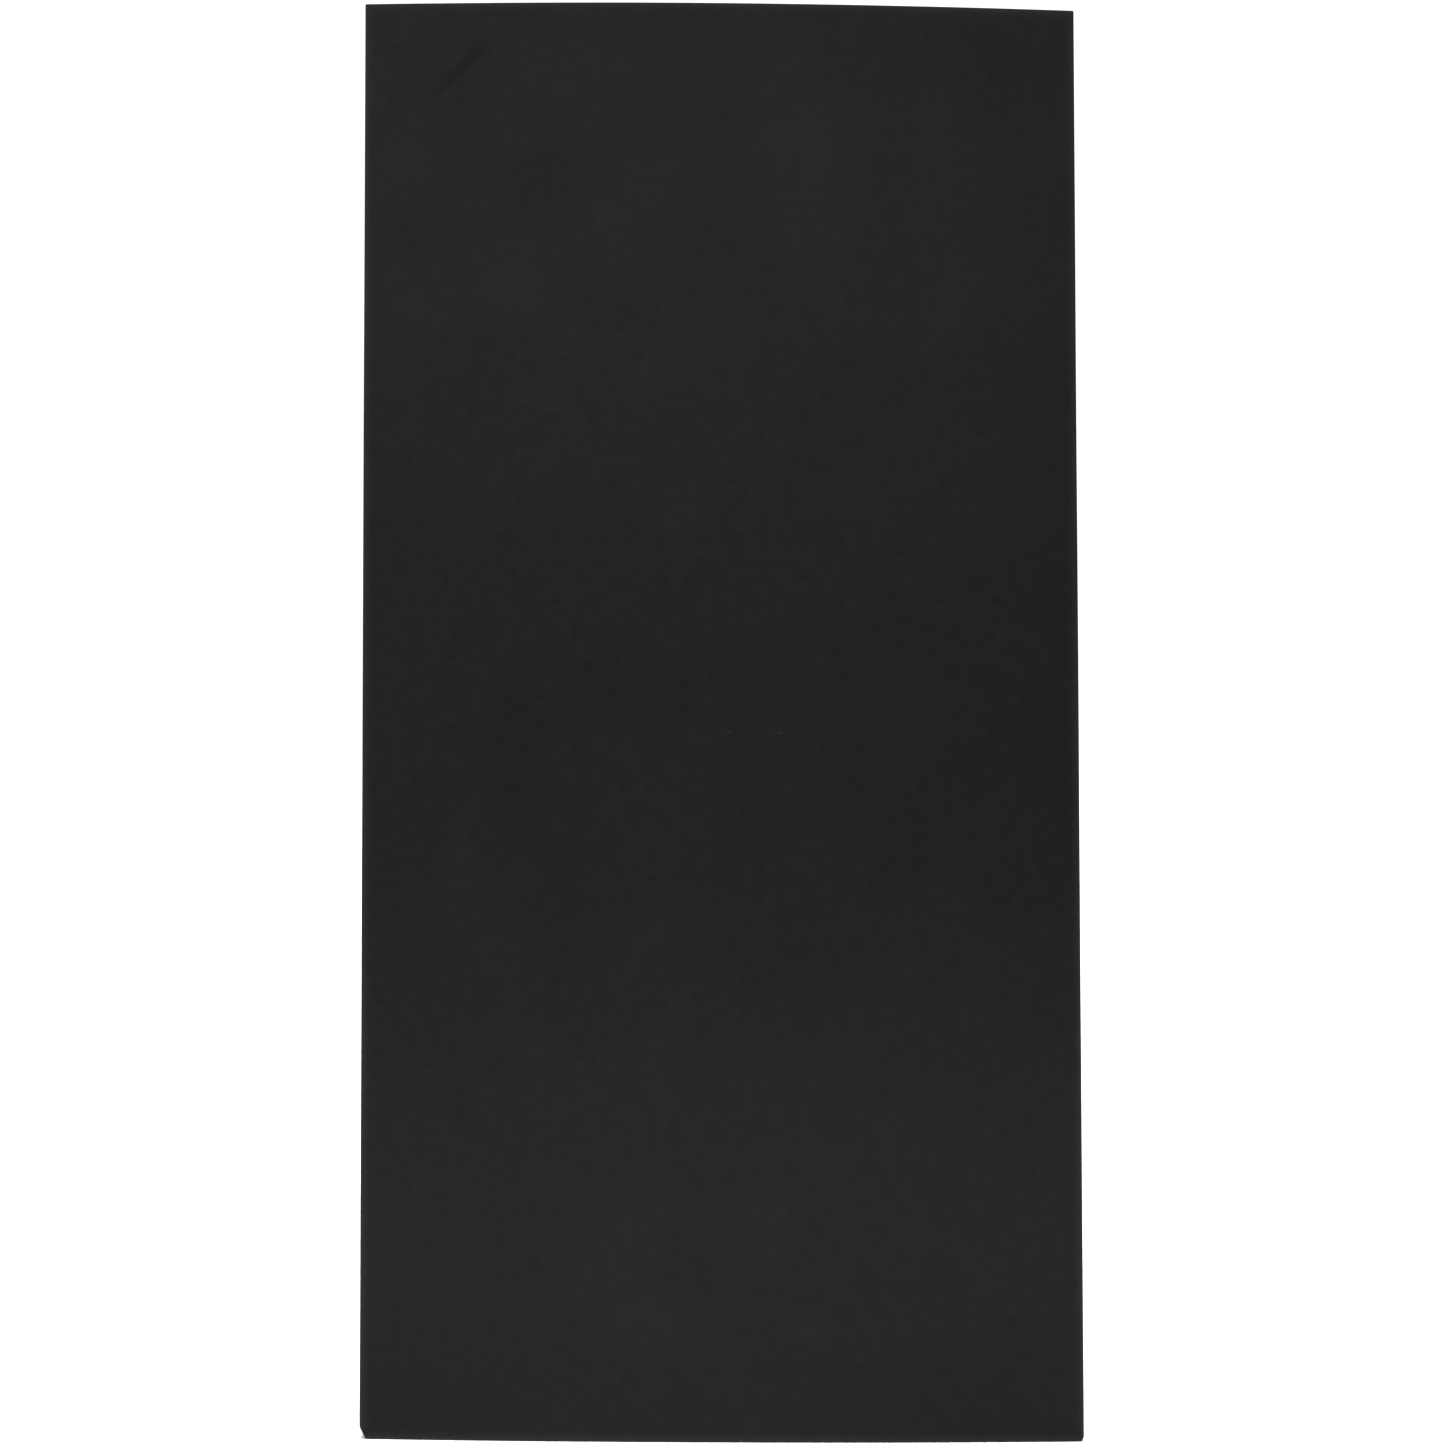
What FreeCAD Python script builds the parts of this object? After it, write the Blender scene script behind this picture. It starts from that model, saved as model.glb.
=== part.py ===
"""Adhesive kick plate: a flexible black vinyl sheet with a bevelled front edge, backed by strips of
double-sided foam tape, each strip under its own release liner.

Frame: millimetres, +Z up, +X to the right of someone facing the plate, -Y towards that person.
The origin is the middle of the door face, the plane y = 0 in which the liners lie.
From the front to the back, the layers are the sheet, the tape and the liner.
"""
import FreeCAD, Part
import os
import Sketcher

doc = FreeCAD.newDocument("kick_plate")

# Driving dimensions in millimetres, in the order of the sheet's rows.
DIMENSIONS = {
    "plate_width": 304.8,
    "plate_height": 609.6,
    "sheet_thickness": 2.0,
    "edge_bevel": 0.8,
    # The lower left corner is trimmed at a slant, narrow across the bottom and longer up the side.
    "trim_width": 2.6,
    "trim_height": 5.0,
    "trim_radius": 4.0,
    "corner_radius": 2.4,
    "tape_width": 19.0,
    "tape_thickness": 1.1,
    "liner_thickness": 0.13,
    # Clear margin between the side strips and the sheet's side edges, and above and below them.
    "side_margin": 8.0,
    "end_margin": 14.0,
    # Clear gap between the cross strips' ends and the side strips.
    "strip_gap": 13.0,
    # Length of liner that runs past a strip's end as a pull tab.
    "tab_length": 10.0,
}

dims = doc.addObject("Spreadsheet::Sheet", "dims")
for row, (alias, value) in enumerate(DIMENSIONS.items(), start=1):
    dims.set(f"A{row}", alias)
    dims.set(f"B{row}", str(value))
    dims.setAlias(f"B{row}", alias)
doc.recompute()


def origin_plane(body, role):
    """One of a body's own origin planes, found by its role."""
    return next(feature for feature in body.Origin.OriginFeatures if feature.Role == role)


def edges_where(shape, is_wanted):
    """Names of the shape's edges whose bounding box passes the test."""
    return [
        f"Edge{number}"
        for number, edge in enumerate(shape.Edges, start=1)
        if is_wanted(edge.BoundBox)
    ]


def outline_sketch(body):
    """The sheet's outline in the XZ plane: a rectangle about the origin, its lower left corner slanted."""
    sketch = body.newObject("Sketcher::SketchObject", "outline")
    sketch.AttachmentSupport = (origin_plane(body, "XZ_Plane"), "")
    sketch.MapMode = "FlatFace"
    half_width = dims.plate_width / 2
    half_height = dims.plate_height / 2
    corners = [
        (-half_width + dims.trim_width, -half_height),
        (half_width, -half_height),
        (half_width, half_height),
        (-half_width, half_height),
        (-half_width, -half_height + dims.trim_height),
    ]
    for start, end in zip(corners, corners[1:] + corners[:1]):
        sketch.addGeometry(Part.LineSegment(FreeCAD.Vector(*start, 0), FreeCAD.Vector(*end, 0)), False)
    bottom, right, top, left, slant = range(5)
    start_point, end_point, x_axis_line, origin_point = 1, 2, -1, 1
    for line, following in ((bottom, right), (right, top), (top, left), (left, slant), (slant, bottom)):
        sketch.addConstraint(Sketcher.Constraint("Coincident", line, end_point, following, start_point))
    for line in (bottom, top):
        sketch.addConstraint(Sketcher.Constraint("Horizontal", line))
    for line in (right, left):
        sketch.addConstraint(Sketcher.Constraint("Vertical", line))
    # The upper left and lower right corners lie opposite each other about the origin.
    sketch.addConstraint(
        Sketcher.Constraint("Symmetric", top, end_point, bottom, end_point, x_axis_line, origin_point)
    )
    named_sizes = (
        ("width", Sketcher.Constraint("DistanceX", top, end_point, top, start_point, dims.plate_width)),
        ("height", Sketcher.Constraint("DistanceY", right, start_point, right, end_point, dims.plate_height)),
        ("trim_x", Sketcher.Constraint("DistanceX", slant, start_point, slant, end_point, dims.trim_width)),
        ("trim_z", Sketcher.Constraint("DistanceY", slant, end_point, slant, start_point, dims.trim_height)),
    )
    for name, constraint in named_sizes:
        index = sketch.addConstraint(constraint)
        sketch.renameConstraint(index, name)
    sketch.setExpression("Constraints.width", "dims.plate_width")
    sketch.setExpression("Constraints.height", "dims.plate_height")
    sketch.setExpression("Constraints.trim_x", "dims.trim_width")
    sketch.setExpression("Constraints.trim_z", "dims.trim_height")
    return sketch


def round_corner(body, base, name, is_corner, radius_cell):
    """Rounds the outline corners that pass the test to a radius from the sheet."""
    fillet = body.newObject("PartDesign::Fillet", name)
    fillet.Base = (base, edges_where(base.Shape, is_corner))
    fillet.setExpression("Radius", f"dims.{radius_cell}")
    doc.recompute()
    return fillet


def make_cover_sheet():
    """The black vinyl sheet that takes the kicks, with a bevel round its front edge."""
    body = doc.addObject("PartDesign::Body", "cover_sheet")
    sketch = outline_sketch(body)
    pad = body.newObject("PartDesign::Pad", "sheet_pad")
    pad.Profile = sketch
    pad.setExpression("Length", "dims.sheet_thickness")
    sketch.Visibility = False
    doc.recompute()

    half_width = dims.plate_width / 2
    half_height = dims.plate_height / 2
    near = 0.01

    def runs_through(box):
        return box.XLength < near and box.ZLength < near

    def lower_right(box):
        return runs_through(box) and box.XMin > half_width - near and box.ZMin < -half_height + near

    def trimmed(box):
        low = box.ZMin < -half_height + dims.trim_height + near
        return runs_through(box) and box.XMin < -half_width + dims.trim_width + near and low

    rounded = round_corner(body, pad, "lower_right_corner", lower_right, "corner_radius")
    softened = round_corner(body, rounded, "trimmed_corner", trimmed, "trim_radius")

    front = softened.Shape.BoundBox.YMin
    bevel = body.newObject("PartDesign::Chamfer", "front_bevel")
    bevel.Base = (softened, edges_where(softened.Shape, lambda box: box.YMax < front + near))
    bevel.setExpression("Size", "dims.edge_bevel")
    doc.recompute()

    body.Tip = bevel
    # The pad runs forward from y = 0, so the sheet's back moves forward onto the tape.
    body.setExpression("Placement.Base.y", "-dims.tape_thickness - dims.liner_thickness")
    return body


def make_strip_layer(name, centre_x, centre_z, size_x, size_z, back_y, thickness):
    """A flat strip as a box. Every argument but the name is an expression on the sheet's cells."""
    strip = doc.addObject("Part::Box", name)
    strip.setExpression("Length", size_x)
    strip.setExpression("Width", thickness)
    strip.setExpression("Height", size_z)
    strip.setExpression("Placement.Base.x", f"{centre_x} - ({size_x}) / 2")
    strip.setExpression("Placement.Base.y", f"{back_y} - {thickness}")
    strip.setExpression("Placement.Base.z", f"{centre_z} - ({size_z}) / 2")
    return strip


def make_side_strip(side, sign):
    """An upright strip of tape near one side edge, and its liner with a tab at the foot."""
    centre_x = f"{sign} * (dims.plate_width / 2 - dims.side_margin - dims.tape_width / 2)"
    length = "dims.plate_height - 2 * dims.end_margin"
    tape = make_strip_layer(
        f"tape_{side}", centre_x, "0", "dims.tape_width", length,
        "-dims.liner_thickness", "dims.tape_thickness",
    )
    liner = make_strip_layer(
        f"liner_{side}", centre_x, "-dims.tab_length / 2", "dims.tape_width",
        f"{length} + dims.tab_length", "0", "dims.liner_thickness",
    )
    return [tape, liner]


def make_cross_strip(level, height_share):
    """A level strip of tape between the side strips, and its liner with a tab at the right."""
    top_strip_z = "(dims.plate_height / 2 - dims.end_margin - dims.tape_width / 2)"
    centre_z = f"{height_share} * {top_strip_z}"
    length = "dims.plate_width - 2 * (dims.side_margin + dims.tape_width + dims.strip_gap)"
    tape = make_strip_layer(
        f"tape_{level}", "0", centre_z, length, "dims.tape_width",
        "-dims.liner_thickness", "dims.tape_thickness",
    )
    liner = make_strip_layer(
        f"liner_{level}", "dims.tab_length / 2", centre_z,
        f"{length} + dims.tab_length", "dims.tape_width", "0", "dims.liner_thickness",
    )
    return [tape, liner]


nodes = [make_cover_sheet()]
for side, sign in (("left", -1), ("right", 1)):
    nodes += make_side_strip(side, sign)
for level, height_share in (("top", 1), ("upper", 0.5), ("middle", 0), ("lower", -0.5), ("bottom", -1)):
    nodes += make_cross_strip(level, height_share)
doc.recompute()

for item in doc.Objects:
    if "Invalid" in item.State or "Error" in item.State:
        raise RuntimeError(f"{item.Name} failed: {item.State}")
for node in nodes:
    if node.Shape.isNull() or not node.Shape.isValid():
        raise RuntimeError(f"{node.Label} has no valid shape")

os.makedirs("parts", exist_ok=True)
for node in nodes:
    node.Shape.exportStep(f"parts/{node.Label}.step")
    box = node.Shape.BoundBox
    low = f"{box.XMin:.2f} {box.YMin:.2f} {box.ZMin:.2f}"
    high = f"{box.XMax:.2f} {box.YMax:.2f} {box.ZMax:.2f}"
    print(f"{node.Label}: {low} to {high} mm, {node.Shape.Volume:.0f} mm3")
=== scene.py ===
import math
import random

import bmesh
import bpy
from mathutils import Matrix, Vector, noise


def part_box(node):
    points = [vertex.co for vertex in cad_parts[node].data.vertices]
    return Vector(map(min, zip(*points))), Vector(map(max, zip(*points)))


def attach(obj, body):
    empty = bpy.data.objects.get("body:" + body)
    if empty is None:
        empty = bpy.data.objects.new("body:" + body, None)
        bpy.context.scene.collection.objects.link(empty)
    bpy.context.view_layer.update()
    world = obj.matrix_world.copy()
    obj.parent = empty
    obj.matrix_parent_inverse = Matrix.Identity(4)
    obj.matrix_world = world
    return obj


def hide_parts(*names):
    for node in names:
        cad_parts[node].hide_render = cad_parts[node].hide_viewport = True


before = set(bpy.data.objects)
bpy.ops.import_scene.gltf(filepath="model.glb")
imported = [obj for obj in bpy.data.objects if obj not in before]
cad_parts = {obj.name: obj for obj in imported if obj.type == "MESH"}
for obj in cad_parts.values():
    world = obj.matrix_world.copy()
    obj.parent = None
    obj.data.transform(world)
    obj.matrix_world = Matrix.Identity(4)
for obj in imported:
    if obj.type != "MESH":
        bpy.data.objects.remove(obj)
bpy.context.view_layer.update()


# ---------------------------------------------------------------------------------------------
# Cover sheet. One piece of flexible black PVC, calendered, embossed on the front with a fine
# pebble grain, guillotined to size and run past a cutter that bevels the front edge. It has
# been shipped loose, so it bows forward a little and has one soft crease near a corner.
# ---------------------------------------------------------------------------------------------
MM = 0.001
sheet_low, sheet_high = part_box("cover_sheet")
HALF_WIDTH = (sheet_high.x - sheet_low.x) / 2
HALF_HEIGHT = (sheet_high.z - sheet_low.z) / 2
FRONT_Y = sheet_low.y
BACK_Y = sheet_high.y
EDGE_BEVEL = 0.8 * MM
BACK_BEVEL = 0.12 * MM
TRIM_WIDTH = 2.6 * MM
TRIM_HEIGHT = 5.0 * MM
TRIM_SOFTENING = 0.9 * MM
LOWER_CORNER = 2.4 * MM
UPPER_CORNER = 0.5 * MM

# The mesh: square cells over the face, with closer cuts at these distances in from each edge.
CELL = 4.0 * MM
EDGE_CUTS = (6.0 * MM, 4.2 * MM, 2.6 * MM, 1.6 * MM)

# How the loose sheet lies: bowed forward along its middle, more at the top than at the foot,
# and twisted so that two opposite corners stand forward of the other two.
BOW_MIDDLE = 2.8 * MM
BOW_EXTRA_AT_TOP = 0.8 * MM
TWIST = 2.0 * MM
WAVE_HEIGHT = 0.34 * MM
WAVE_LENGTH = 120 * MM
RIPPLE_HEIGHT = 0.05 * MM
RIPPLE_LENGTH = 38 * MM

# The crease near the upper left corner, from its lower end to its upper end.
CREASE_FOOT = Vector((-HALF_WIDTH + 28.5 * MM, HALF_HEIGHT - 41.0 * MM))
CREASE_HEAD = Vector((-HALF_WIDTH + 53.5 * MM, HALF_HEIGHT - 15.5 * MM))
CREASE_DEPTH = 0.35 * MM
CREASE_WIDTH = 1.8 * MM
FINE_MESH_REACH = 7 * MM
FINE_MESH_OVERRUN = 0.25
FINE_MESH_CUTS = 5

# Spots of painted light and shade on the front, painted paler or, with a negative strength,
# darker: the middle across and up, the spread across and up, and the strength.
PAINTED_SHADING_SPOTS = (
    (-86 * MM, 188 * MM, 15 * MM, 19 * MM, 1.0),
    (24 * MM, 247 * MM, 9 * MM, 8 * MM, 0.8),
    (-18 * MM, 86 * MM, 9 * MM, 11 * MM, 0.6),
    (-110 * MM, -56 * MM, 6 * MM, 26 * MM, 0.5),
    (-31 * MM, -254 * MM, 13 * MM, 10 * MM, 0.5),
    (39 * MM, -258 * MM, 8 * MM, 9 * MM, 0.8),
    (-110 * MM, -164 * MM, 4 * MM, 11 * MM, -0.8),
    (112 * MM, 276 * MM, 34 * MM, 26 * MM, -0.6),
)

# The edge is dragged back a hair by the blade, over this width.
EDGE_ROLL = 0.16 * MM
EDGE_ROLL_WIDTH = 4.0 * MM


def stands_forward(x, z):
    """How far forward of flat a point of the loose plate lies. Every layer follows it."""
    across = x / HALF_WIDTH
    up = z / HALF_HEIGHT
    bow = (BOW_MIDDLE + BOW_EXTRA_AT_TOP * up) * (1 - across**2)
    twist = TWIST * (1 - across * up)
    wave = WAVE_HEIGHT * noise.noise(Vector((x, 0.31, z)) / WAVE_LENGTH)
    ripple = RIPPLE_HEIGHT * noise.noise(Vector((x, 0.77, z)) / RIPPLE_LENGTH)
    return bow + twist + wave + ripple


def lay_on_bow(bm):
    """Moves a flat layer's vertices forward on to the bowed shape."""
    for vert in bm.verts:
        vert.co.y -= stands_forward(vert.co.x, vert.co.z)


def slice_across(bm, axis, places):
    """Cuts the mesh with planes square to the axis, so that it can bend."""
    normal = Vector((axis == "x", 0, axis == "z"))
    for place in places:
        everything = bm.verts[:] + bm.edges[:] + bm.faces[:]
        bmesh.ops.bisect_plane(bm, geom=everything, plane_co=normal * place, plane_no=normal)


def cuts_between(low, high, step):
    """Evenly spaced places strictly between two ends, about a step apart."""
    count = max(1, round((high - low) / step))
    return [low + (high - low) * number / count for number in range(1, count)]


def finish_piece(bm, name, materials, smooth_below=40):
    """Makes the mesh an object at the origin, shaded smooth except at edges over the angle."""
    bmesh.ops.recalc_face_normals(bm, faces=bm.faces)
    mesh = bpy.data.meshes.new(name)
    bm.to_mesh(mesh)
    bm.free()
    for material in materials:
        mesh.materials.append(material)
    mesh.shade_smooth()
    mesh.set_sharp_from_angle(angle=math.radians(smooth_below))
    piece = bpy.data.objects.new(name, mesh)
    bpy.context.collection.objects.link(piece)
    return piece


def bevel_edges(bm, edges, width, segments):
    bmesh.ops.bevel(
        bm, geom=edges, offset=width, offset_type="OFFSET", affect="EDGES",
        segments=segments, profile=0.5, material=-1, clamp_overlap=True,
    )


def near(value, target):
    return abs(value - target) < 0.01 * MM


def run_through(bm, x, z):
    """The edges that run through the thickness at one corner of the outline."""
    return [
        edge for edge in bm.edges
        if all(near(vert.co.x, x) and near(vert.co.z, z) for vert in edge.verts)
    ]


sheet_mesh = bmesh.new()
outline = [
    (-HALF_WIDTH + TRIM_WIDTH, -HALF_HEIGHT),
    (HALF_WIDTH, -HALF_HEIGHT),
    (HALF_WIDTH, HALF_HEIGHT),
    (-HALF_WIDTH, HALF_HEIGHT),
    (-HALF_WIDTH, -HALF_HEIGHT + TRIM_HEIGHT),
]
front_face = sheet_mesh.faces.new([sheet_mesh.verts.new((x, FRONT_Y, z)) for x, z in outline])
extruded = bmesh.ops.extrude_face_region(sheet_mesh, geom=[front_face])
back_verts = [item for item in extruded["geom"] if isinstance(item, bmesh.types.BMVert)]
bmesh.ops.translate(sheet_mesh, vec=(0, BACK_Y - FRONT_Y, 0), verts=back_verts)
bmesh.ops.recalc_face_normals(sheet_mesh, faces=sheet_mesh.faces)
trimmed = [run_through(sheet_mesh, *outline[corner])[0] for corner in (0, 4)]
bevel_edges(sheet_mesh, trimmed, TRIM_SOFTENING, 3)
bevel_edges(sheet_mesh, run_through(sheet_mesh, *outline[1]), LOWER_CORNER, 6)
upper = run_through(sheet_mesh, *outline[2]) + run_through(sheet_mesh, *outline[3])
bevel_edges(sheet_mesh, upper, UPPER_CORNER, 3)
for rim_y, width, segments in ((FRONT_Y, EDGE_BEVEL, 3), (BACK_Y, BACK_BEVEL, 1)):
    rim = [edge for edge in sheet_mesh.edges if all(near(vert.co.y, rim_y) for vert in edge.verts)]
    bevel_edges(sheet_mesh, rim, width, segments)

for axis, half in (("x", HALF_WIDTH), ("z", HALF_HEIGHT)):
    by_the_edge = [half - inward for inward in EDGE_CUTS]
    slice_across(sheet_mesh, axis, cuts_between(-by_the_edge[0], by_the_edge[0], CELL))
    slice_across(sheet_mesh, axis, by_the_edge + [-place for place in by_the_edge])


def from_crease(x, z):
    """Distance from the crease's line, and how far along it: 0 at the foot, 1 at the head."""
    run = CREASE_HEAD - CREASE_FOOT
    offset = Vector((x, z)) - CREASE_FOOT
    along = offset.dot(run) / run.length_squared
    return offset.cross(run) / run.length, along


def by_crease(face):
    middle = face.calc_center_median()
    away, along = from_crease(middle.x, middle.z)
    beside = -FINE_MESH_OVERRUN < along < 1 + FINE_MESH_OVERRUN
    return near(middle.y, FRONT_Y) and abs(away) < FINE_MESH_REACH and beside


close_edges = {edge for face in sheet_mesh.faces if by_crease(face) for edge in face.edges}
bmesh.ops.subdivide_edges(
    sheet_mesh, edges=list(close_edges), cuts=FINE_MESH_CUTS, use_grid_fill=True
)

creased = sheet_mesh.verts.layers.float.new("creased")
painted_spot_shading = sheet_mesh.verts.layers.float.new("painted_spot_shading")
for vert in sheet_mesh.verts:
    if vert.co.y > FRONT_Y + EDGE_BEVEL:
        continue
    x, z = vert.co.x, vert.co.z
    inset = min(HALF_WIDTH - abs(x), HALF_HEIGHT - abs(z))
    vert.co.y += EDGE_ROLL * max(0.0, 1 - inset / EDGE_ROLL_WIDTH) ** 2
    away, along = from_crease(x, z)
    fades = math.exp(-((2 * along - 1) ** 4))
    vert[creased] = fades * math.exp(-((away / CREASE_WIDTH) ** 2))
    vert.co.y += CREASE_DEPTH * vert[creased]
    # Painted light and shade: each front vertex keeps how much the spots above pale or darken it.
    vert[painted_spot_shading] = sum(
        strength * math.exp(-(((x - across) / wide) ** 2) - ((z - up) / tall) ** 2)
        for across, up, wide, tall, strength in PAINTED_SHADING_SPOTS
    )

# Slots: 0 is the embossed front, 1 the cut edge and its bevel, 2 the plain back.
FACES_BACK = 0.9
FACES_FRONT = -0.97
sheet_mesh.normal_update()
for face in sheet_mesh.faces:
    if face.normal.y > FACES_BACK:
        face.material_index = 2
    elif face.normal.y > FACES_FRONT:
        face.material_index = 1
lay_on_bow(sheet_mesh)


def linear(hex_colour):
    """The linear RGBA of an sRGB hex colour."""
    channels = [int(hex_colour[start:start + 2], 16) / 255 for start in (1, 3, 5)]
    return [c / 12.92 if c <= 0.04045 else ((c + 0.055) / 1.055) ** 2.4 for c in channels] + [1.0]


def new_material(name):
    material = bpy.data.materials.new(name)
    material.use_nodes = True
    return material


def feed(material, node, inputs):
    """Gives each named input of a node a constant, or another node's output."""
    for name, source in inputs.items():
        if isinstance(source, bpy.types.NodeSocket):
            material.node_tree.links.new(source, node.inputs[name])
        else:
            node.inputs[name].default_value = source


def add_node(material, kind, inputs=None, **settings):
    """Adds a shader node with its settings and its inputs."""
    node = material.node_tree.nodes.new(kind)
    for name, value in settings.items():
        setattr(node, name, value)
    feed(material, node, inputs or {})
    return node


def finish_material(material, inputs):
    """Feeds the material's surface shader."""
    feed(material, material.node_tree.nodes["Principled BSDF"], inputs)


# Calendered PVC with an embossed pebble grain: soft satin black, its gloss broken up by the
# grain and clouded where the rolls pressed unevenly, with painted light and shade in spots,
# painted shade along the crease and a painted highlight round the edge.
PVC_IOR = 1.53
GRAIN = 1.15 * MM
FINE_GRAIN = 0.55 * MM
FINE_SHARE = 0.45
GRAIN_DEPTH = 0.05 * MM
CLOUD_SIZE = 55 * MM
MOTTLE_SIZE = 5 * MM
MOTTLE_SWING = 0.6
SPOT_SHADING_SHARE = 1.3
grained = new_material("embossed_pvc_front")
place = add_node(grained, "ShaderNodeTexCoord").outputs["Object"]
pebbles = add_node(
    grained, "ShaderNodeTexVoronoi", {"Vector": place, "Scale": 1 / GRAIN, "Smoothness": 0.6},
    feature="SMOOTH_F1",
)
pores = add_node(
    grained, "ShaderNodeTexNoise", {"Vector": place, "Scale": 1 / FINE_GRAIN, "Detail": 2.0}
)
height = add_node(
    grained, "ShaderNodeMath",
    {0: pores.outputs["Fac"], 1: FINE_SHARE, 2: pebbles.outputs["Distance"]},
    operation="MULTIPLY_ADD",
)
bump = add_node(
    grained, "ShaderNodeBump",
    {"Height": height.outputs["Value"], "Distance": GRAIN_DEPTH, "Strength": 0.8},
)
clouding = add_node(
    grained, "ShaderNodeTexNoise", {"Vector": place, "Scale": 1 / CLOUD_SIZE, "Detail": 3.0}
)
mottle = add_node(
    grained, "ShaderNodeTexNoise", {"Vector": place, "Scale": 1 / MOTTLE_SIZE, "Detail": 3.0}
)
# Painted light and shade: the spots kept on the vertices pale or darken the base colour.
marks = add_node(grained, "ShaderNodeAttribute", attribute_name="painted_spot_shading")
mottled = add_node(
    grained, "ShaderNodeMapRange",
    {
        "Value": mottle.outputs["Fac"], "From Min": 0.3, "From Max": 0.7,
        "To Min": -MOTTLE_SWING, "To Max": MOTTLE_SWING,
    },
)
uneven = add_node(
    grained, "ShaderNodeMath",
    {0: mottled.outputs["Result"], 1: clouding.outputs["Fac"]}, operation="ADD",
)
uneven_plus_spot_shading = add_node(
    grained, "ShaderNodeMath",
    {0: marks.outputs["Fac"], 1: SPOT_SHADING_SHARE, 2: uneven.outputs["Value"]}, operation="MULTIPLY_ADD",
)
clouded_and_spot_shaded = add_node(
    grained, "ShaderNodeMix",
    {"Factor": uneven_plus_spot_shading.outputs["Value"], "A": linear("#181818"), "B": linear("#212121")},
    data_type="RGBA", clamp_factor=False,
)
# Painted shade: the base colour darkens to near black along the crease's valley.
valley = add_node(grained, "ShaderNodeAttribute", attribute_name="creased")
crease_shaded = add_node(
    grained, "ShaderNodeMix",
    {"Factor": valley.outputs["Fac"], "A": clouded_and_spot_shaded.outputs["Result"], "B": linear("#080808")},
    data_type="RGBA",
)

# Painted highlight: the last few millimetres round the edge are painted paler, most of all the rim.
HIGHLIGHT_WIDTH = 6 * MM
HIGHLIGHT_FALL_OFF = 3.0
spread = add_node(grained, "ShaderNodeVectorMath", {0: place}, operation="ABSOLUTE")
apart = add_node(grained, "ShaderNodeSeparateXYZ", {"Vector": spread.outputs["Vector"]})
from_side = add_node(
    grained, "ShaderNodeMath", {0: HALF_WIDTH, 1: apart.outputs["X"]}, operation="SUBTRACT"
)
from_end = add_node(
    grained, "ShaderNodeMath", {0: HALF_HEIGHT, 1: apart.outputs["Z"]}, operation="SUBTRACT"
)
inset = add_node(
    grained, "ShaderNodeMath", {0: from_side.outputs["Value"], 1: from_end.outputs["Value"]},
    operation="MINIMUM",
)
within = add_node(
    grained, "ShaderNodeMapRange",
    {"Value": inset.outputs["Value"], "From Max": HIGHLIGHT_WIDTH, "To Min": 1.0, "To Max": 0.0},
)
painted_edge_highlight = add_node(
    grained, "ShaderNodeMath", {0: within.outputs["Result"], 1: HIGHLIGHT_FALL_OFF},
    operation="POWER",
)
edge_highlighted = add_node(
    grained, "ShaderNodeMix",
    {"Factor": painted_edge_highlight.outputs["Value"], "A": crease_shaded.outputs["Result"], "B": linear("#464646")},
    data_type="RGBA",
)

# A packing strap just below the middle left two pale nicks, as far along and half as long as
# given here.
STRAP_UP = -7.3 * MM
NICK_HALF_WIDTH = 0.4 * MM
NICKS = ((3.2 * MM, 1.0 * MM), (24.9 * MM, 1.6 * MM))
tone = edge_highlighted
for nick_along, half_length in NICKS:
    from_nick = add_node(
        grained, "ShaderNodeVectorMath", {0: place, 1: (nick_along, 0, STRAP_UP)},
        operation="SUBTRACT",
    )
    in_nicks = add_node(
        grained, "ShaderNodeVectorMath",
        {0: from_nick.outputs["Vector"], 1: (1 / half_length, 0, 1 / NICK_HALF_WIDTH)},
        operation="MULTIPLY",
    )
    nick_radius = add_node(
        grained, "ShaderNodeVectorMath", {0: in_nicks.outputs["Vector"]}, operation="LENGTH"
    )
    scratched = add_node(
        grained, "ShaderNodeMapRange",
        {
            "Value": nick_radius.outputs["Value"], "From Min": 0.5, "From Max": 1.2,
            "To Min": 1.0, "To Max": 0.0,
        },
    )
    tone = add_node(
        grained, "ShaderNodeMix",
        {
            "Factor": scratched.outputs["Result"], "A": tone.outputs["Result"],
            "B": linear("#3E3E3E"),
        },
        data_type="RGBA",
    )
gloss = add_node(
    grained, "ShaderNodeMapRange",
    {
        "Value": clouding.outputs["Fac"], "From Min": 0.3, "From Max": 0.7,
        "To Min": 0.50, "To Max": 0.60,
    },
)
finish_material(
    grained,
    {
        "Base Color": tone.outputs["Result"], "Roughness": gloss.outputs["Result"],
        "Normal": bump.outputs["Normal"], "IOR": PVC_IOR,
    },
)

# The same PVC where the blade cut it: smooth, a little glossy, and painted paler than the face
# as a painted highlight on the bevel, with fine drag marks through the thickness.
DRAG_SPACING = 0.7 * MM
DRAG_LENGTH = 14 * MM
DRAG_DEPTH = 0.03 * MM
cut = new_material("cut_pvc_edge")
cut_place = add_node(cut, "ShaderNodeTexCoord").outputs["Object"]
along_cut = add_node(
    cut, "ShaderNodeMapping",
    {"Vector": cut_place, "Scale": (1 / DRAG_SPACING, 1 / DRAG_LENGTH, 1 / DRAG_SPACING)},
)
drag_marks = add_node(
    cut, "ShaderNodeTexNoise", {"Vector": along_cut.outputs["Vector"], "Scale": 1.0, "Detail": 2.0}
)
cut_tone_and_highlight = add_node(
    cut, "ShaderNodeMix",
    {"Factor": drag_marks.outputs["Fac"], "A": linear("#2E2E2E"), "B": linear("#424242")},
    data_type="RGBA",
)
cut_bump = add_node(
    cut, "ShaderNodeBump",
    {"Height": drag_marks.outputs["Fac"], "Distance": DRAG_DEPTH, "Strength": 0.7},
)
finish_material(
    cut,
    {
        "Base Color": cut_tone_and_highlight.outputs["Result"], "Roughness": 0.42,
        "Normal": cut_bump.outputs["Normal"], "IOR": PVC_IOR,
    },
)

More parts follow.
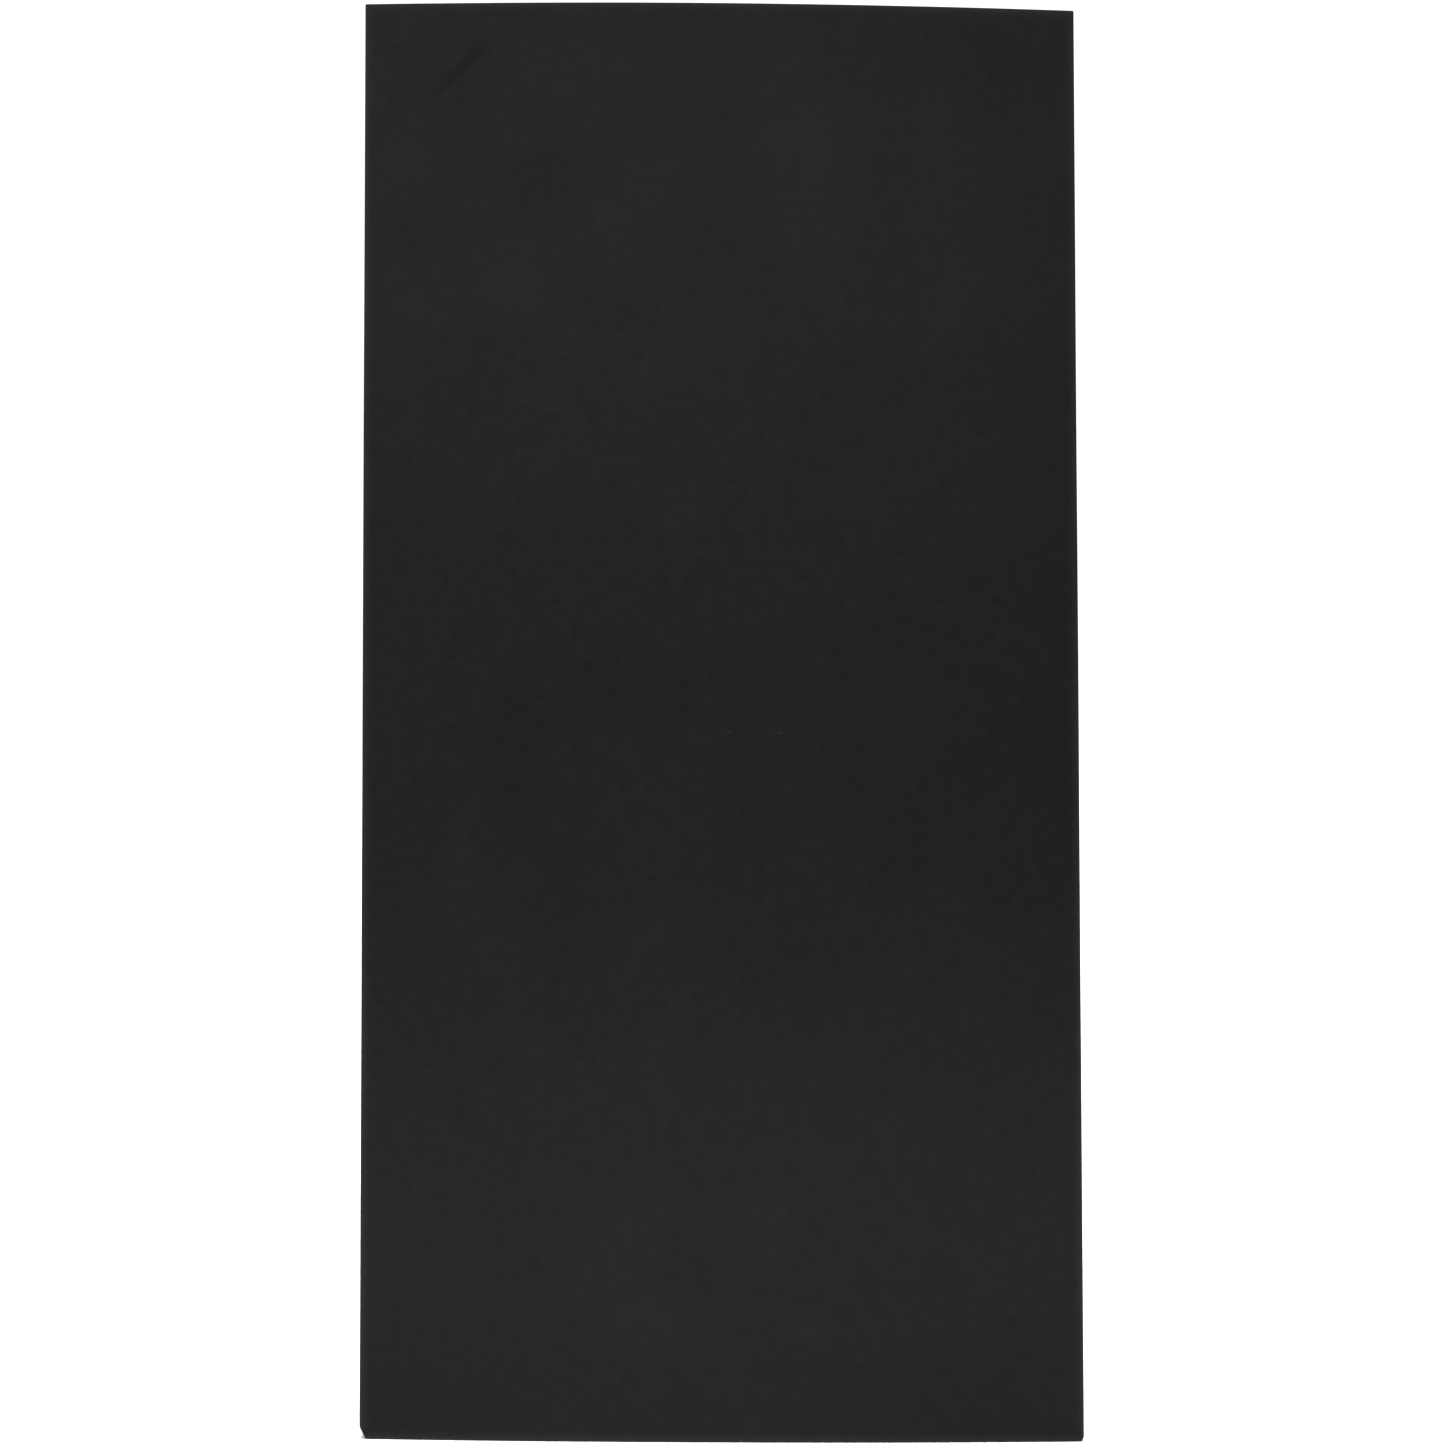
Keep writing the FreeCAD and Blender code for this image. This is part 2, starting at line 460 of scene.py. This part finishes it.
# The back came off a plain roll: smooth and satin, with faint lines up the sheet from the
# calender, and dusty from the packing.
LINE_SPACING = 1.6 * MM
LINE_LENGTH = 90 * MM
LINE_DEPTH = 0.02 * MM
DUST_SIZE = 70 * MM
plain = new_material("calendered_pvc_back")
plain_place = add_node(plain, "ShaderNodeTexCoord").outputs["Object"]
along_roll = add_node(
    plain, "ShaderNodeMapping",
    {"Vector": plain_place, "Scale": (1 / LINE_SPACING, 1 / LINE_SPACING, 1 / LINE_LENGTH)},
)
roll_lines = add_node(
    plain, "ShaderNodeTexNoise",
    {"Vector": along_roll.outputs["Vector"], "Scale": 1.0, "Detail": 3.0},
)
dust = add_node(
    plain, "ShaderNodeTexNoise", {"Vector": plain_place, "Scale": 1 / DUST_SIZE, "Detail": 5.0}
)
plain_tone = add_node(
    plain, "ShaderNodeMix",
    {"Factor": dust.outputs["Fac"], "A": linear("#1B1B1C"), "B": linear("#2B2B2B")},
    data_type="RGBA",
)
plain_gloss = add_node(
    plain, "ShaderNodeMapRange",
    {
        "Value": roll_lines.outputs["Fac"], "From Min": 0.3, "From Max": 0.7,
        "To Min": 0.36, "To Max": 0.50,
    },
)
plain_bump = add_node(
    plain, "ShaderNodeBump",
    {"Height": roll_lines.outputs["Fac"], "Distance": LINE_DEPTH, "Strength": 0.6},
)
finish_material(
    plain,
    {
        "Base Color": plain_tone.outputs["Result"], "Roughness": plain_gloss.outputs["Result"],
        "Normal": plain_bump.outputs["Normal"], "IOR": PVC_IOR,
    },
)

cover_sheet = finish_piece(sheet_mesh, "black_vinyl_sheet", [grained, cut, plain])
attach(cover_sheet, "root")
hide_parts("cover_sheet")


# ---------------------------------------------------------------------------------------------
# Foam tape. Seven strips of grey double-sided acrylic foam, cut from a roll and laid by hand on
# the sheet's back, two up the sides and five across. Once lined, only their cut sides show.
# ---------------------------------------------------------------------------------------------
STRIPS = ("left", "right", "top", "upper", "middle", "lower", "bottom")
STRIP_STEP = 5 * MM
TAPE_EDGE = 0.12 * MM
SKEW = math.radians(0.14)
UPRIGHT_SKEW_SHARE = 0.3
hand = random.Random(5)
skews = {strip: SKEW * hand.uniform(-1, 1) for strip in STRIPS}


def lay_strip(bm, strip, low, high):
    """Cuts a strip across so that it bends, turns it by its skew and lays it on the bow."""
    long_axis, across = ("z", "x") if high.z - low.z > high.x - low.x else ("x", "z")
    for axis in (long_axis, across):
        slice_across(bm, axis, cuts_between(getattr(low, axis), getattr(high, axis), STRIP_STEP))
    tape_low, tape_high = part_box(f"tape_{strip}")
    turn = skews[strip] * (UPRIGHT_SKEW_SHARE if long_axis == "z" else 1)
    bmesh.ops.rotate(
        bm, cent=(tape_low + tape_high) / 2, matrix=Matrix.Rotation(turn, 3, "Y"), verts=bm.verts
    )
    lay_on_bow(bm)


def block(low, high):
    """A plain block that fills a box."""
    bm = bmesh.new()
    size = Matrix.Diagonal((high - low).to_4d())
    bmesh.ops.create_cube(bm, size=1, matrix=Matrix.Translation((low + high) / 2) @ size)
    return bm


# Closed-cell acrylic foam: dull dark grey, pitted where the knife opened its cells, with
# painted shade darkening each pit towards its bottom.
CELL_SIZE = 0.22 * MM
PIT_DEPTH = 0.06 * MM
foam = new_material("acrylic_foam_tape")
foam_place = add_node(foam, "ShaderNodeTexCoord").outputs["Object"]
cells = add_node(foam, "ShaderNodeTexVoronoi", {"Vector": foam_place, "Scale": 1 / CELL_SIZE})
foam_tone_and_pit_shade = add_node(
    foam, "ShaderNodeMix",
    {"Factor": cells.outputs["Distance"], "A": linear("#3E3F42"), "B": linear("#636569")},
    data_type="RGBA",
)
foam_bump = add_node(
    foam, "ShaderNodeBump",
    {"Height": cells.outputs["Distance"], "Distance": PIT_DEPTH, "Strength": 0.9},
)
finish_material(
    foam,
    {
        "Base Color": foam_tone_and_pit_shade.outputs["Result"], "Roughness": 0.78,
        "Normal": foam_bump.outputs["Normal"], "IOR": 1.47,
    },
)

for strip in STRIPS:
    low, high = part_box(f"tape_{strip}")
    tape_mesh = block(low, high)
    bevel_edges(tape_mesh, tape_mesh.edges[:], TAPE_EDGE, 2)
    lay_strip(tape_mesh, strip, low, high)
    tape = finish_piece(tape_mesh, f"foam_tape_{strip}", [foam])
    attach(tape, "root")
    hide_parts(f"tape_{strip}")


# ---------------------------------------------------------------------------------------------
# Release liners. A ribbon of silicone-coated paper over each strip of tape, which is peeled off
# when the plate goes on the door. It runs past the tape at one end as a tab to pull it by.
# ---------------------------------------------------------------------------------------------
TAB_CORNER = 2.5 * MM
TAB_LIFT = 1.3 * MM

# Cream glassine paper under a thin coat of silicone: satin, flecked with fibres, and cockled.
FIBRE = 0.9 * MM
COCKLE_SIZE = 14 * MM
COCKLE_DEPTH = 0.25 * MM
liner_paper = new_material("siliconed_liner_paper")
liner_place = add_node(liner_paper, "ShaderNodeTexCoord").outputs["Object"]
fibres = add_node(
    liner_paper, "ShaderNodeTexNoise", {"Vector": liner_place, "Scale": 1 / FIBRE, "Detail": 4.0}
)
cockling = add_node(
    liner_paper, "ShaderNodeTexNoise",
    {"Vector": liner_place, "Scale": 1 / COCKLE_SIZE, "Detail": 2.0},
)
flecked = add_node(
    liner_paper, "ShaderNodeMix",
    {"Factor": fibres.outputs["Fac"], "A": linear("#D8CFB9"), "B": linear("#E9E2D1")},
    data_type="RGBA",
)
liner_tone = add_node(
    liner_paper, "ShaderNodeMix",
    {"Factor": cockling.outputs["Fac"], "A": flecked.outputs["Result"], "B": linear("#DCD2BA")},
    data_type="RGBA",
)
liner_bump = add_node(
    liner_paper, "ShaderNodeBump",
    {"Height": cockling.outputs["Fac"], "Distance": COCKLE_DEPTH, "Strength": 0.7},
)
finish_material(
    liner_paper,
    {
        "Base Color": liner_tone.outputs["Result"], "Roughness": 0.4,
        "Normal": liner_bump.outputs["Normal"], "IOR": 1.43,
    },
)

for strip in STRIPS:
    low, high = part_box(f"liner_{strip}")
    tape_low, tape_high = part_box(f"tape_{strip}")
    liner_mesh = block(low, high)
    points_down = low.z < tape_low.z
    free_corner = (low.x, low.z) if points_down else (high.x, high.z)
    for x, z in ((high.x, low.z), free_corner):
        bevel_edges(liner_mesh, run_through(liner_mesh, x, z), TAB_CORNER, 4)
    tab_length = (tape_low.z - low.z) + (high.x - tape_high.x)
    lift = TAB_LIFT * hand.uniform(0.6, 1.3)
    slice_across(liner_mesh, "z", [tape_low.z, tape_low.z - tab_length / 2])
    slice_across(liner_mesh, "x", [tape_high.x, tape_high.x + tab_length / 2])
    for vert in liner_mesh.verts:
        past_tape = max(0.0, tape_low.z - vert.co.z, vert.co.x - tape_high.x)
        vert.co.y += lift * (past_tape / tab_length) ** 2
    lay_strip(liner_mesh, strip, low, high)
    liner = finish_piece(liner_mesh, f"release_liner_{strip}", [liner_paper])
    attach(liner, "root")
    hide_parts(f"liner_{strip}")


# ---------------------------------------------------------------------------------------------
# Floor and light, which aren't part of the object: a pale floor under the plate's foot with a
# lamp of its own, a white surround, and soft boxes overhead, in front and behind.
# ---------------------------------------------------------------------------------------------
FLOOR_REACH = 60
floor_mesh = bmesh.new()
bmesh.ops.create_grid(floor_mesh, x_segments=1, y_segments=1, size=FLOOR_REACH)
bmesh.ops.translate(floor_mesh, vec=(0, 0, -HALF_HEIGHT), verts=floor_mesh.verts)
# The floor looks white all over, but throws light back at the plate only from close by, and
# less so at the plate's foot and to either side of it.
FLOOR_WHITE = 0.95
paper = new_material("pale_floor")
floor_place = add_node(paper, "ShaderNodeTexCoord").outputs["Object"]
floor_axes = add_node(paper, "ShaderNodeSeparateXYZ", {"Vector": floor_place})
reach = add_node(
    paper, "ShaderNodeMapRange",
    {"Value": floor_axes.outputs["Y"], "From Min": -0.80, "From Max": -0.50},
    interpolation_type="SMOOTHSTEP",
)
foot_shade = add_node(
    paper, "ShaderNodeMapRange",
    {
        "Value": floor_axes.outputs["Y"], "From Min": -0.32, "From Max": -0.06,
        "To Min": 0.43, "To Max": 0.25,
    },
    interpolation_type="SMOOTHSTEP",
)
off_centre = add_node(
    paper, "ShaderNodeMath", {0: floor_axes.outputs["X"], 1: 0.03}, operation="ADD"
)
sideways = add_node(paper, "ShaderNodeMath", {0: off_centre.outputs["Value"]}, operation="ABSOLUTE")
side_shade = add_node(
    paper, "ShaderNodeMapRange",
    {
        "Value": sideways.outputs["Value"], "From Min": 0.03, "From Max": 0.22,
        "To Min": 1.08, "To Max": 0.85,
    },
    interpolation_type="SMOOTHSTEP",
)
shaded = add_node(
    paper, "ShaderNodeMath", {0: foot_shade.outputs["Result"], 1: side_shade.outputs["Result"]},
    operation="MULTIPLY",
)
thrown_back = add_node(
    paper, "ShaderNodeMath", {0: reach.outputs["Result"], 1: shaded.outputs["Value"]},
    operation="MULTIPLY",
)
looked_at = add_node(paper, "ShaderNodeLightPath").outputs["Is Camera Ray"]
paper_tone = add_node(
    paper, "ShaderNodeMix",
    {"Factor": looked_at, "A": thrown_back.outputs["Value"], "B": FLOOR_WHITE},
    data_type="FLOAT",
)
finish_material(
    paper,
    {"Base Color": paper_tone.outputs["Result"], "Roughness": 1.0, "Specular IOR Level": 0.0},
)
floor = finish_piece(floor_mesh, "floor", [paper])

# The surround is white to look at. What the plate gets from it comes from well above eye level.
world = bpy.data.worlds.new("surround")
bpy.context.scene.world = world
world.use_nodes = True
way = add_node(world, "ShaderNodeTexCoord").outputs["Generated"]
upward = add_node(world, "ShaderNodeSeparateXYZ", {"Vector": way}).outputs["Z"]
ceiling = add_node(
    world, "ShaderNodeMapRange",
    {"Value": upward, "From Min": 0.2, "From Max": 0.45, "To Min": 0.02, "To Max": 0.24},
    interpolation_type="SMOOTHSTEP",
)
SURROUND_WHITE = 1.2
straight_on = add_node(world, "ShaderNodeLightPath").outputs["Is Camera Ray"]
strength = add_node(
    world, "ShaderNodeMix",
    {"Factor": straight_on, "A": ceiling.outputs["Result"], "B": SURROUND_WHITE},
    data_type="FLOAT",
)
feed(
    world, world.node_tree.nodes["Background"],
    {"Color": (1, 1, 1, 1), "Strength": strength.outputs["Result"]},
)


def add_light(name, kind, strength, location, target):
    """Adds a lamp at a place, facing a point."""
    data = bpy.data.lights.new(name, kind)
    data.energy = strength
    light = bpy.data.objects.new(name, data)
    light.location = location
    facing = Vector(target) - Vector(location)
    light.rotation_euler = facing.to_track_quat("-Z", "Y").to_euler()
    light.visible_camera = False
    bpy.context.collection.objects.link(light)
    return light


FLOOR_LAMP_SPREAD = math.radians(16)
floor_lamp = add_light("floor_lamp", "SUN", 4.5, (0, -0.45, 3), (0, 0, 0))
floor_lamp.data.angle = FLOOR_LAMP_SPREAD
lit_by_floor_lamp = bpy.data.collections.new("lit_by_floor_lamp")
lit_by_floor_lamp.objects.link(floor)
floor_lamp.light_linking.receiver_collection = lit_by_floor_lamp

# The soft boxes: name, watts, where it stands, what it faces, and its width and height, in metres.
SOFT_BOXES = (
    ("front_box", 2.0, (0, -1.3, 0.63), (0, 0, 0.2), (1.4, 0.2)),
    ("side_box", 0.5, (-1.3, -0.9, 0.1), (0, 0, 0), (0.6, 1.2)),
    ("upper_left_box", 0.6, (-1.0, -1.0, 0.55), (0, 0, 0.15), (0.3, 0.5)),
    ("overhead_box", 1.4, (0, -0.3, 1.6), (0, 0, -0.3), (1.6, 1.2)),
    ("rear_box", 16.0, (0.4, 1.6, 0.9), (0, 0, 0), (1.2, 0.8)),
)
for name, watts, location, target, size in SOFT_BOXES:
    soft_box = add_light(name, "AREA", watts, location, target)
    soft_box.data.shape = "RECTANGLE"
    soft_box.data.size, soft_box.data.size_y = size

# The camera stands just in front of the plate, a little below its middle and looking up.
CAMERA_PLACE = Vector((-2.4, -602.2, -16.3)) * MM
CAMERA_PITCH = math.radians(1.28)
CAMERA_YAW = math.radians(-0.29)
camera_data = bpy.data.cameras.new("camera")
camera_data.lens = 35
camera_data.sensor_width = 36
camera = bpy.data.objects.new("camera", camera_data)
camera.location = CAMERA_PLACE
camera.rotation_euler = (math.radians(90) + CAMERA_PITCH, 0, CAMERA_YAW)
bpy.context.collection.objects.link(camera)
bpy.context.scene.camera = camera
bpy.context.scene.view_settings.view_transform = "Standard"
